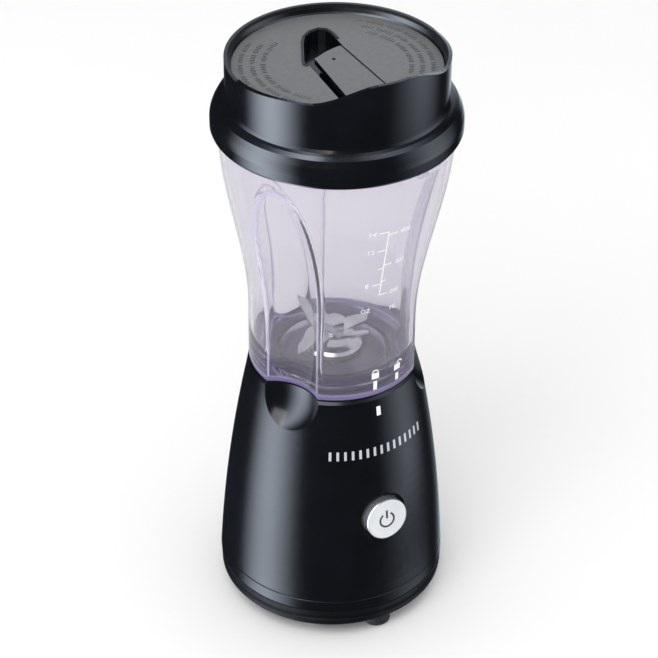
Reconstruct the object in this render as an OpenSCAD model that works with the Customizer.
// Single-serve countertop blender.
// Motor base, drive train, clear jar with blades, screw lid with a sip slider.
// Millimetres, +Z up, front is -Y, z = 0 is the face under the rubber feet.
// Lengths below are drawing lengths; size_k brings the whole blender to its real size.

/* [Size] */
// real length divided by drawing length, set so that the jar's volume marks are true
size_k = 0.94; // [0.92:0.01:1]

/* [Base] */
// height of the rubber feet under the base
foot_h = 8; // [7:0.5:9]
// radius of a rubber foot
foot_r = 7.4; // [6.5:0.1:7.8]
// distance of the feet from the centre
foot_pos_r = 48.3; // [47:0.1:48.6]
// largest radius of the motor base
base_r = 58.3; // [57.8:0.1:58.8]
// height of the base above its bottom edge
base_h = 132; // [131.6:0.1:132.2]
// wall thickness of the base shell
base_wall = 2.6; // [2.2:0.1:3]
// height of the seam line near the bottom of the shell
seam_z = 16.3; // [15:0.1:18]
// depth of the seam line
seam_d = 0.9; // [0.5:0.1:1.4]
// radius of the round finger scoops cut into the shell
scoop_r = 23.6; // [22.5:0.1:24]

/* [Button] */
// height of the button centre above the base's bottom edge
btn_z = 64.5; // [62:0.5:67]
// radius of the button
btn_r = 11.2; // [10.6:0.1:11.2]
// how far the button stands out of the shell
btn_out = 3.5; // [2.5:0.1:4.5]

/* [Jar] */
// jar radius in its straight lower part
jar_r = 42.5; // [42:0.1:43]
// jar radius under the lid
mouth_r = 55.6; // [55.2:0.1:55.7]
// height where the flare starts
flare_z = 166; // [160:1:172]
// wall thickness of the jar
jar_wall = 2.4; // [2.1:0.1:2.6]
// innermost radius of the three finger grips
grip_in = 35; // [34.6:0.1:36]

/* [Lid] */
// height of the rim at the back of the lid
rim_z = 300; // [298:0.5:302]
// outer radius of the lid's upper wall
rim_r = 52.3; // [52:0.1:52.6]
// how far the drinking lip rises above the rim
lip_h = 11.6; // [8:0.1:13]
// largest radius of the screw skirt
skirt_r = 59.4; // [59.2:0.1:59.8]
// height of the skirt's bottom edge
skirt_z = 264.5; // [263.5:0.5:265.5]
// height of the round top plate
disc_z = 295.5; // [295:0.1:296]
// rise of the screw thread in one turn
lead = 12; // [12:1:12]

/* [Blades] */
// length of a blade wing from the centre
blade_len = 25; // [20:0.5:27]
// thickness of the blade steel
blade_t = 1.2; // [0.8:0.1:1.3]

/* [Motor] */
// radius of the rotor core
rotor_r = 13; // [12:0.1:13.1]
// radius of the motor shaft
shaft_r = 3; // [3:0.1:3]
// radius of the cooling fan
fan_r = 21.5; // [18:0.5:22]

/* [Hidden] */
$fn = 96;
e = 0.01;

function sm(t) = let (u = min(max(t, 0), 1)) u * u * (3 - 2 * u);
function base_rad(z) = z < 10 ? base_r - 0.05 * (10 - z)
  : base_r - 0.0542 * (z - 10) - 0.000625 * (z - 10) * (z - 10);
function jar_rad(z) = jar_r + (mouth_r - jar_r) * sm((z - flare_z) / (262 - flare_z));
// height of the lid's rim at an angle from the front
function rim_at(a) = rim_z + (lip_h * 0.225) * (1 - sm((a - 50) / 40)) + (lip_h * 0.775)
    * (1 - sm((a - 8) / 36));

deck_z = 112;
deck_t = 3;
socket_r = 30;
collar_r = 37.5;
lug_az = [0, 120, 240];
grip_az = [-60, 60, 180];
jar_z = base_h + 1;
jar_top = 274;
neck_r = 55;
skirt_in = 57.2;
grip_R = 23.6;
bend = 158;
screw_xy = [[23, 16.5], [-23, 16.5], [23, -16.5], [-23, -16.5]];
btn_y = base_rad(btn_z);
btn_tilt = 7;

module up() scale(size_k) translate([0, 0, foot_h]) children();
module at_az(a, r) rotate([0, 0, a]) translate([0, -r, 0]) children();
// frame of the button: +Z points out of the shell
module at_btn() translate([0, -btn_y, btn_z]) rotate([90 - btn_tilt, 0, 0]) children();
module ring(ro, ri, z0, z1) translate([0, 0, z0]) difference() {
  cylinder(r = ro, h = z1 - z0);
  translate([0, 0, -1]) cylinder(r = ri, h = z1 - z0 + 2);
}
module rod(r, z0, z1) translate([0, 0, z0]) cylinder(r = r, h = z1 - z0);
// a sector of a tube
module sector(ro, ri, z0, z1, a0, a1) {
  m = 8;
  translate([0, 0, z0]) linear_extrude(z1 - z0) polygon(concat(
    [for (i = [0:m]) let (a = a0 + (a1 - a0) * i / m) [ro * sin(a), -ro * cos(a)]],
    [for (i = [m:-1:0]) let (a = a0 + (a1 - a0) * i / m) [ri * sin(a), -ri * cos(a)]]));
}
// a screw thread ridge that follows a helix
module ridge(r0, r1, w, s, a0, a1, m = 18) {
  function zz(a) = s + lead * a / 360;
  pts = [for (i = [0:m]) let (a = a0 + (a1 - a0) * i / m, c = sin(a), d = -cos(a), k = min(1, min(i,
      m - i) / 2),
    rt = r0 + (r1 - r0) * max(0.12, k))
    each [[r0 * c, r0 * d, zz(a) - w / 2], [rt * c, rt * d, zz(a) - w / 4], [rt * c, rt * d, zz(a) + w / 4],
      [r0 * c, r0 * d, zz(a) + w / 2]]];
  f0 = r1 > r0 ? [3, 2, 1, 0] : [0, 1, 2, 3];
  faces = concat([f0], [for (i = [0:m - 1], j = [0:3]) let (k = (j + 1) % 4, p = 4 * i, q = 4 * i + 4)
    each (r1 > r0 ? [[p + j, p + k, q + j], [p + k, q + k, q + j]] : [[p + j, q + j, p + k], [p + k,
        q + j, q + k]])],
    [[for (j = [3:-1:0]) 4 * m + f0[j]]]);
  polyhedron(pts, faces, convexity = 6);
}

// ---------------------------------------------------------------- base
module base_housing() color("#17191d") up() difference() {
  union() {
    difference() {
      rotate_extrude() polygon(concat([[0, 10]], [for (z = [10:6:128]) [base_rad(z), z]],
        [[base_rad(130), base_h - 1.2], [base_rad(base_h) - 1.1, base_h], [0, base_h]]));
      difference() {
        rotate_extrude() polygon(concat([[0, 9]], [for (z = [9:6:129]) [base_rad(max(z, 10))
            - base_wall, z]],
          [[collar_r, 129], [collar_r, deck_z - deck_t], [0, deck_z - deck_t]]));
        for (a = grip_az) at_az(a, 57.6) translate([0, 0, 134]) sphere(r = scoop_r + 2.4);
        for (a = [45:90:315]) at_az(a, 50.6) rod(4.6, 9.6, 24);
        for (p = screw_xy) translate([p[0], p[1], 0]) rod(4.5, 95.05, 110);
        at_btn() rod(13.6, -10, 0);
      }
      for (a = grip_az) at_az(a, 57.6) translate([0, 0, 134]) sphere(r = scoop_r);
    }
    ring(13.4, 11.5, deck_z - 1, deck_z + 4);
  }
  difference() {
    translate([0, 0, deck_z]) cylinder(r = socket_r, h = 30);
    ring(13.4, 11.4, deck_z - 2, deck_z + 4);
  }
  for (a = lug_az) rotate([0, 0, a]) sector(34.4, 28, 119.2, 140, -29, 7.4);
  rod(11.5, deck_z - deck_t - 1, 140);
  for (a = [45:90:315]) at_az(a, 50.6) rod(1.5, 8, 21);
  for (p = screw_xy) translate([p[0], p[1], 0]) rod(2.02, 90, 106);
  at_btn() { rod(btn_r + 0.3, -12, 12); rod(13, -2.8, 12); }
  rotate_extrude() polygon([[base_rad(seam_z) - seam_d, seam_z], [base_rad(seam_z) + 2, seam_z - 1.6],
    [base_rad(seam_z) + 2, seam_z + 0.9]]);
  translate([0, 61, 20]) rotate([90, 0, 0]) cylinder(r = 5, h = 10);
}
module base_bottom_cover() color("#1d1f22") up() difference() {
  union() {
    rotate_extrude() polygon([[0, 0], [base_rad(0) - 0.5, 0], [base_rad(1), 0.8], [base_rad(3), 3.4],
      [base_rad(4) - 0.9, 4.2], [base_rad(5) - 0.9, 5.6], [base_rad(6), 6.4], [base_rad(8), 9],
          [base_rad(9) - 0.8, 9.9],
      [base_rad(9) - 3.4, 9.9], [base_rad(9) - 3.4, 3], [0, 3]]);
    for (a = [45:90:315]) at_az(a, 50.6) rod(4.4, 0, 9.5);
    for (a = [0:120:240]) at_az(a, foot_pos_r) rod(4.6, 2, 6);
  }
  for (a = [45:90:315]) at_az(a, 50.6) { rod(1.9, -1, 11); rod(3.6, -1, 4); }
  for (a = [0:120:240]) at_az(a, foot_pos_r) rod(2.6, -1, 7);
  for (r = [16:5:31], a = [0:45:315]) rotate([0, 0, a]) sector(r + 2, r, -1, 5, -15, 15);
}
module cover_screws() color("#8a8d90") up() for (a = [45:90:315]) at_az(a, 50.6) difference() {
  union() { rod(3.4, 1.2, 3.98); rod(1.48, 3.9, 18); }
  rod(1.6, 0, 2.4);
}
module rubber_feet() color("#101112") up() for (a = [0:120:240]) at_az(a, foot_pos_r)
  rotate_extrude() polygon([[0, -foot_h + 1.2], [foot_r - 3.2, -foot_h + 1.2], [foot_r - 2.2, -foot_h],
    [foot_r - 0.6, -foot_h], [foot_r, -foot_h + 0.8], [foot_r - 0.5, -0.6], [foot_r - 1, -0.02],
        [2.5, -0.02],
    [2.5, 6], [3.2, 6.3], [2.2, 8], [0, 8]]);
module cord_gland() color("#141516") up() translate([0, base_rad(20) - 7, 20]) rotate([-90, 0, 0])
  rotate_extrude() polygon([[3.3, 0], [6.6, 0], [6.6, 2.2], [4.9, 2.8], [4.9, 7.45], [6.2, 7.7],
      [5.6, 8.5], [3.3, 8.5]]);

// ---------------------------------------------------------------- motor
module motor_upper_bracket() color("#b7bcc0") up() difference() {
  union() {
    translate([-29, -22, 92]) cube([58, 44, 3]);
    rod(12, 88.6, 97);
    for (p = screw_xy) translate([p[0], p[1], 0]) rod(4, 70.02, 92.5);
  }
  rod(9.52, 90, 96.02);
  rod(7, 80, 100);
  for (p = screw_xy) translate([p[0], p[1], 0]) rod(2.2, 60, 100);
  for (s = [-1, 1]) translate([s * 20 - 3, -9, 90]) cube([6, 18, 8]);
}
module motor_lower_bracket() color("#b7bcc0") up() difference() {
  union() {
    translate([-29, -22, 17]) cube([58, 44, 3]);
    rod(12, 17, 26.4);
    for (p = screw_xy) translate([p[0], p[1], 0]) rod(4, 19, 45.98);
  }
  rod(9.52, 19, 25);
  rod(7, 10, 30);
  for (p = screw_xy) translate([p[0], p[1], 0]) rod(2.2, 10, 50);
}
module stator_core() color("#6f757b") up() difference() {
  translate([-29, -22, 46]) cube([58, 44, 24]);
  rod(rotor_r + 0.6, 40, 80);
  for (p = screw_xy) translate([p[0], p[1], 0]) rod(2.2, 40, 80);
  for (s = [-1, 1], t = [-1, 1]) translate([s * 19 - 3, t * 12 - 2.4, 40]) cube([6, 4.8, 40]);
  for (s = [-1, 1], t = [-1, 1]) translate([s * 29, t * 22, 40]) rotate([0, 0, 45]) translate([-3,
      -3, 0]) cube([6, 6, 40]);
}
module field_coils() color("#b0713a") up() for (s = [-1, 1]) difference() {
  union() {
    for (z = [40, 70.05]) translate([s * 20 - 5, -15, z]) cube([10, 30, 5.95]);
    for (t = [-1, 1]) translate([s * 19 - 2.9, t * 12 - 2.3, 45]) cube([5.8, 4.6, 26]);
  }
  for (p = screw_xy) translate([p[0], p[1], 0]) { rod(4.4, 30, 46); rod(4.4, 70, 90); }
}
module bearing(z) color("#c9ccce") up() {
  ring(9.5, 7.8, z, z + 6);
  ring(4.6, shaft_r + 0.05, z, z + 6);
  ring(7.9, 4.5, z + 1, z + 5);
}
module upper_bearing() bearing(90);
module lower_bearing() bearing(19);
module brush_holders() color("#c8a24a") up() for (s = [0, 180]) rotate([0, 0, s]) difference() {
  union() {
    translate([9.6, -4.6, 30]) cube([14, 9.2, 9.6]);
    translate([14, -3, 20.02]) cube([6, 6, 11]);
  }
  translate([5, -3.1, 31.7]) cube([17, 6.2, 6.2]);
}
module carbon_brushes() color("#2a2a2c") up() for (s = [0, 180]) rotate([0, 0, s])
  translate([8.3, -3, 31.8]) cube([11, 6, 6]);
module motor_screws() color("#8a8d90") up() for (p = screw_xy) translate([p[0], p[1], 0]) difference() {
  union() { rod(3.8, 13.6, 16.98); rod(1.98, 16.9, 105); }
  translate([-4, -0.5, 13]) cube([8, 1, 1.8]);
}
module deck_seal() color("#3a3d40") up() {
  ring(11.46, 9.4, 108.9, 111.8);
  ring(13.5, 6.4, 107.5, deck_z - deck_t - 0.02);
}
module switch_cap() color("#24262a") up() at_btn() difference() {
  rod(15.4, -17, -5.6);
  rod(13.64, -15.5, -5);
  rod(3, -20, 0);
}
module switch_body() color("#e8e6e0") up() at_btn() {
  translate([-9, -6.5, -26]) cube([18, 13, 8.98]);
  rod(2.4, -17.5, -14.4);
  for (s = [-1, 1]) translate([s * 6 - 0.4, -2, -28.6]) cube([0.8, 4, 3]);
}

// ---------------------------------------------------------------- button
module power_button() color("#dfe2e6") up() at_btn() {
  difference() {
    rotate_extrude() polygon([[0, btn_out - 0.5], [7.5, btn_out - 0.45], [btn_r - 0.9, btn_out],
        [btn_r - 0.25, btn_out - 0.3],
      [btn_r, btn_out - 1], [btn_r, -10.4], [12.7, -10.4], [12.7, -12], [0, -12]]);
    rod(9.4, -13, 1);
  }
  rod(2.4, -11.6, 1.5);
}
// a wire of radius w wound on radius R
module coil(R, w, h, turns, n = 18, k = 7) {
  m = n * turns;
  pts = [for (i = [0:m], j = [0:k - 1]) let (a = 360 * i / n, b = 360 * j / k, q = R + w * cos(b))
    [q * cos(a), q * sin(a), w + (h - 2 * w) * i / m + w * sin(b)]];
  polyhedron(pts, concat([[for (j = [k - 1:-1:0]) j]], [for (i = [0:m - 1], j = [0:k - 1])
    let (l = (j + 1) % k, p = k * i, q = p + k) each [[p + j, p + l, q + j], [p + l, q + l, q + j]]],
    [[for (j = [0:k - 1]) k * m + j]]), convexity = 8);
}
module button_spring() color("#9aa0a5") up() at_btn() translate([0, 0, -15.4]) coil(5, 0.6, 16.3, 5);

// ---------------------------------------------------------------- rotor
module motor_shaft() color("#c4c8cc") up() { rod(shaft_r, 14, 115); rod(3.6, 98, 101); }
module rotor_core() color("#7d848a") up() difference() {
  rod(rotor_r, 47, 69);
  rod(shaft_r + 0.02, 40, 80);
  for (a = [0:30:330]) at_az(a, rotor_r) translate([-0.9, -1, 40]) cube([1.8, 3.6, 40]);
}
module rotor_windings() color("#b86a2c") up() {
  ring(12.2, shaft_r + 0.05, 41, 46.95);
  ring(12.2, shaft_r + 0.05, 69.05, 75);
  ring(5.4, shaft_r + 0.05, 39.6, 41.1);
}
module commutator() color("#c07a3c") up() difference() {
  ring(8, shaft_r + 0.02, 30, 39.5);
  for (a = [0:15:345]) at_az(a, 8) translate([-0.25, -1, 29]) cube([0.5, 1.9, 12]);
}
module cooling_fan() color("#d8d4c8") up() difference() {
  union() {
    rod(6, 77, 87.4);
    rod(fan_r, 84.8, 86.2);
    for (a = [0:30:330]) rotate([0, 0, a]) translate([5, -0.7, 78.2]) rotate([0, 0, 14])
        cube([fan_r - 6, 1.3, 7]);
  }
  rod(shaft_r + 0.02, 70, 90);
}
module drive_coupler() color("#26282c") up() difference() {
  union() {
    rod(6, 101.1, 114);
    rod(10.6, 113, 116.5);
    for (a = [0, 120, 240]) rotate([0, 0, a]) sector(10, 5, 116, 121.5, -10, 10);
  }
  rod(shaft_r + 0.02, 90, 115.1);
}

// ---------------------------------------------------------------- jar
module jar_foot_gasket() color("#8f939a") up() ring(29.4, 25.6, deck_z + 0.4, 115);
// a finger grip: an upright channel that leans outwards with the flare
module grip(R) for (a = grip_az) at_az(a, grip_in + grip_R) {
  rod(R, 108, 171.5);
  translate([0, -bend, 170]) for (i = [0:5]) let (q = 3 + 6 * i) rotate([q, 0, 0]) translate([0,
      bend * cos(3), 0])
    translate([0, 0, -bend * sin(3) - 1.6]) cylinder(r = R, h = 2 * bend * sin(3) + 3.2);
}
module jar() color([0.86, 0.87, 0.92, 0.35]) up() {
  difference() {
    union() {
      difference() {
        rotate_extrude() polygon(concat([[0, 134], [26.5, 134], [26.5, 115.3], [29.3, 115.3], [29.3,
            jar_z], [41, jar_z],
          [jar_rad(135) - 0.3, jar_z + 0.7], [jar_rad(137), 136]], [for (z = [142:5:257]) [jar_rad(z), z]],
          [[jar_rad(260), 260], [neck_r + 0.2, 261.6], [neck_r, 263], [neck_r, jar_top - 0.6],
              [neck_r - 0.7, jar_top], [0, jar_top]]));
        grip(grip_R);
      }
      for (a = lug_az) rotate([0, 0, a]) sector(33.8, 27, 120, 125, -6, 6);
    }
    difference() {
      rotate_extrude() polygon(concat([[0, 137], [28, 137], [34, 138.6], [38, 142], [jar_rad(148)
          - jar_wall, 148]],
        [for (z = [153:5:258]) [jar_rad(z) - jar_wall, z]], [[52.6, 264], [52.6, 280], [0, 280]]));
      grip(grip_R + jar_wall);
    }
    rod(8.6, 120, 140);
  }
  for (k = [0:2]) ridge(neck_r - 0.4, 56.35, 1.5, 267.6 - k * lead / 3, 120 * k + 20, 120 * k + 92);
}
module blade_hub() color("#aeb4b9") up() difference() {
  rotate_extrude() polygon([[0, 126], [8.4, 126], [8.4, 137.9], [13.8, 137.9], [14, 139.6], [12.6,
      141], [9, 142], [7, 145.4], [5.6, 146], [0, 146]]);
  rod(5.02, 120, 150);
}
module hub_gasket() color("#7c8085") up() ring(13.4, 8.65, 137.02, 137.88);
module hub_nut() color("#9da3a8") up() difference() {
  translate([0, 0, 129.6]) cylinder(r = 14, h = 4.38, $fn = 6);
  rod(8.42, 120, 140);
}
module shaft_bushing() color("#b08d4a") up() ring(5, shaft_r + 0.05, 127, 145.6);
module blade_shaft() color("#c4c8cc") up() difference() {
  rod(shaft_r, 123.6, 152);
  translate([2.2, -4, 146.1]) cube([3, 8, 8]);
}
// a strip bent up or down at both ends, trimmed to the outline of two wings
module blade(z, lift, turn) {
  b = 9;
  c = cos(lift);
  s = sin(lift);
  e = blade_len - 7;
  m = blade_t * tan(lift / 2);
  half = [[b, 0], [b + e * c, e * s], [b + e * c - blade_t * s, e * s + blade_t * c], [b - m, blade_t]];
  translate([0, 0, z]) difference() {
    rotate([0, 0, turn]) intersection() {
      rotate([90, 0, 0]) translate([0, 0, -15]) linear_extrude(30)
        polygon(concat(half, [for (i = [3:-1:0]) [-half[i][0], half[i][1]]]));
      translate([0, 0, -20]) linear_extrude(60) union() {
        circle(r = 6);
        for (a = [0, 180]) rotate([0, 0, a]) polygon([[-1, -4.2], [b, -4.2], [b + (blade_len - 14)
            * c, -2.4],
          [b + (blade_len - 9) * c, 2.4], [b + (blade_len - 15) * c, 4.3], [-1, 4.3]]);
      }
    }
    difference() { rod(shaft_r + 0.02, -10, 30); translate([2.24, -4, -11]) cube([3, 8, 42]); }
  }
}
module lower_blade() color("#d3d7da") up() blade(146.15, -12, 12);
module upper_blade() color("#d3d7da") up() blade(146.2 + blade_t, 32, 102);
module blade_nut() color("#b9bec2") up() difference() {
  translate([0, 0, 148.8]) cylinder(r = 5.6, h = 4.4, $fn = 6);
  rod(shaft_r + 0.02, 148, 152.02);
}
module driven_coupler() color("#26282c") up() difference() {
  union() {
    rod(10.6, 123, 125.6);
    for (a = [60, 180, 300]) rotate([0, 0, a]) sector(10, 5, 117.5, 123.5, -10, 10);
  }
  rod(shaft_r + 0.02, 123.55, 130);
}

// ---------------------------------------------------------------- lid
module lid_gasket() color("#9a9ea5") up() ring(55.6, 51.2, jar_top + 0.3, 275.7);
// outline of the thumb hollow behind the slider
cav = [[-12.3, 4], [-13.4, 6.4], [-12, 10], [-8.4, 17], [-4.6, 24.5], [-1.2, 29.5], [3.4, 32.6], [8,
    33.2], [10.8, 31.2], [11.6, 27],
  [11.1, 21], [10.5, 14], [10.5, 0], [-12.2, 0]];
module lid_shell() color("#1a1c1f") up() {
  difference() {
    union() {
      rotate_extrude() polygon([[0, disc_z - 3], [49.8, disc_z - 3], [49.8, 276], [55.8, 276],
          [skirt_in, 274.4], [skirt_in, skirt_z],
        [skirt_r - 0.3, skirt_z], [skirt_r, skirt_z + 0.8], [skirt_r, 270], [skirt_r - 0.3, 271.8],
        [skirt_r - 1.2, 274.4], [56.6, 277.3], [54.6, 278.6], [53.1, 279.3], [rim_r, 280.6], [rim_r,
            320], [rim_r - 1.6, 320],
        [rim_r - 1.7, disc_z + 2.6], [rim_r - 2.6, disc_z + 0.7], [rim_r - 3.4, disc_z], [0, disc_z]]);
      intersection() {
        translate([-17.5, -60, disc_z - 9.5]) cube([31.5, 95.6, 8]);
        rod(50.4, 280, 300);
      }
    }
    // the rim rises at the front to the drinking lip
    translate([0, 1, 0]) rotate([90, 0, 0]) linear_extrude(70) polygon(concat([[-70, 330], [-70, rim_z]],
      [for (d = [-90:4.5:90]) [rim_r * sin(d), rim_at(abs(d))]], [[70, rim_z], [70, 330]]));
    translate([-70, 0, rim_z]) cube([140, 80, 40]);
    // channel, thumb hollow and sip hole
    translate([0, 0, disc_z - 6.5]) linear_extrude(10) polygon([[-12.3, 4.2], [-15.1, -28], [-16.2,
        -40], [-14, -44.4],
      [-8, -46.6], [6, -46.6], [10.5, -45], [10.5, 4.2]]);
    translate([0, 0, disc_z - 7.5]) linear_extrude(10) polygon(cav);
    for (x = [-5, 5]) translate([x, -39.5, 0]) rod(3, 280, 300);
    translate([-5, -42.5, 280]) cube([10, 6, 12]);
  }
  for (k = [0:2]) ridge(skirt_in + 0.4, 55.75, 1.5, 269.6 - k * lead / 3, 120 * k - 62, 120 * k + 6);
}
module lid_slider() color("#202226") up() difference() {
  union() {
    translate([0, 0, disc_z - 3.4]) linear_extrude(2.9) polygon([[-6.6, 10], [-8.6, -9], [-10.6,
        -27.4], [-11.4, -38], [-9, -43],
      [-4, -44.6], [5, -44.6], [10.2, -42.6], [10.2, 15.2], [8.8, 15.4], [5, 14.6], [1, 13.4], [-3, 11.6]]);
    translate([-4, -8, disc_z - 6.2]) cube([8, 18, 3]);
  }
  translate([1.1, 5.6, 0]) rod(0.9, 280, 300);
}
module sip_seal() color("#8f939a") up() translate([0, 0, disc_z - 6.3]) {
  for (x = [-5, 5]) translate([x, -39.5, 0]) rod(3.8, 0, 2.88);
  translate([-5, -43.3, 0]) cube([10, 7.6, 2.88]);
}

base_housing();
base_bottom_cover();
cover_screws();
rubber_feet();
cord_gland();
motor_upper_bracket();
motor_lower_bracket();
stator_core();
field_coils();
upper_bearing();
lower_bearing();
brush_holders();
carbon_brushes();
motor_screws();
deck_seal();
switch_cap();
switch_body();
power_button();
button_spring();
motor_shaft();
rotor_core();
rotor_windings();
commutator();
cooling_fan();
drive_coupler();
jar_foot_gasket();
jar();
blade_hub();
hub_gasket();
hub_nut();
shaft_bushing();
blade_shaft();
lower_blade();
upper_blade();
blade_nut();
driven_coupler();
lid_gasket();
lid_shell();
lid_slider();
sip_seal();
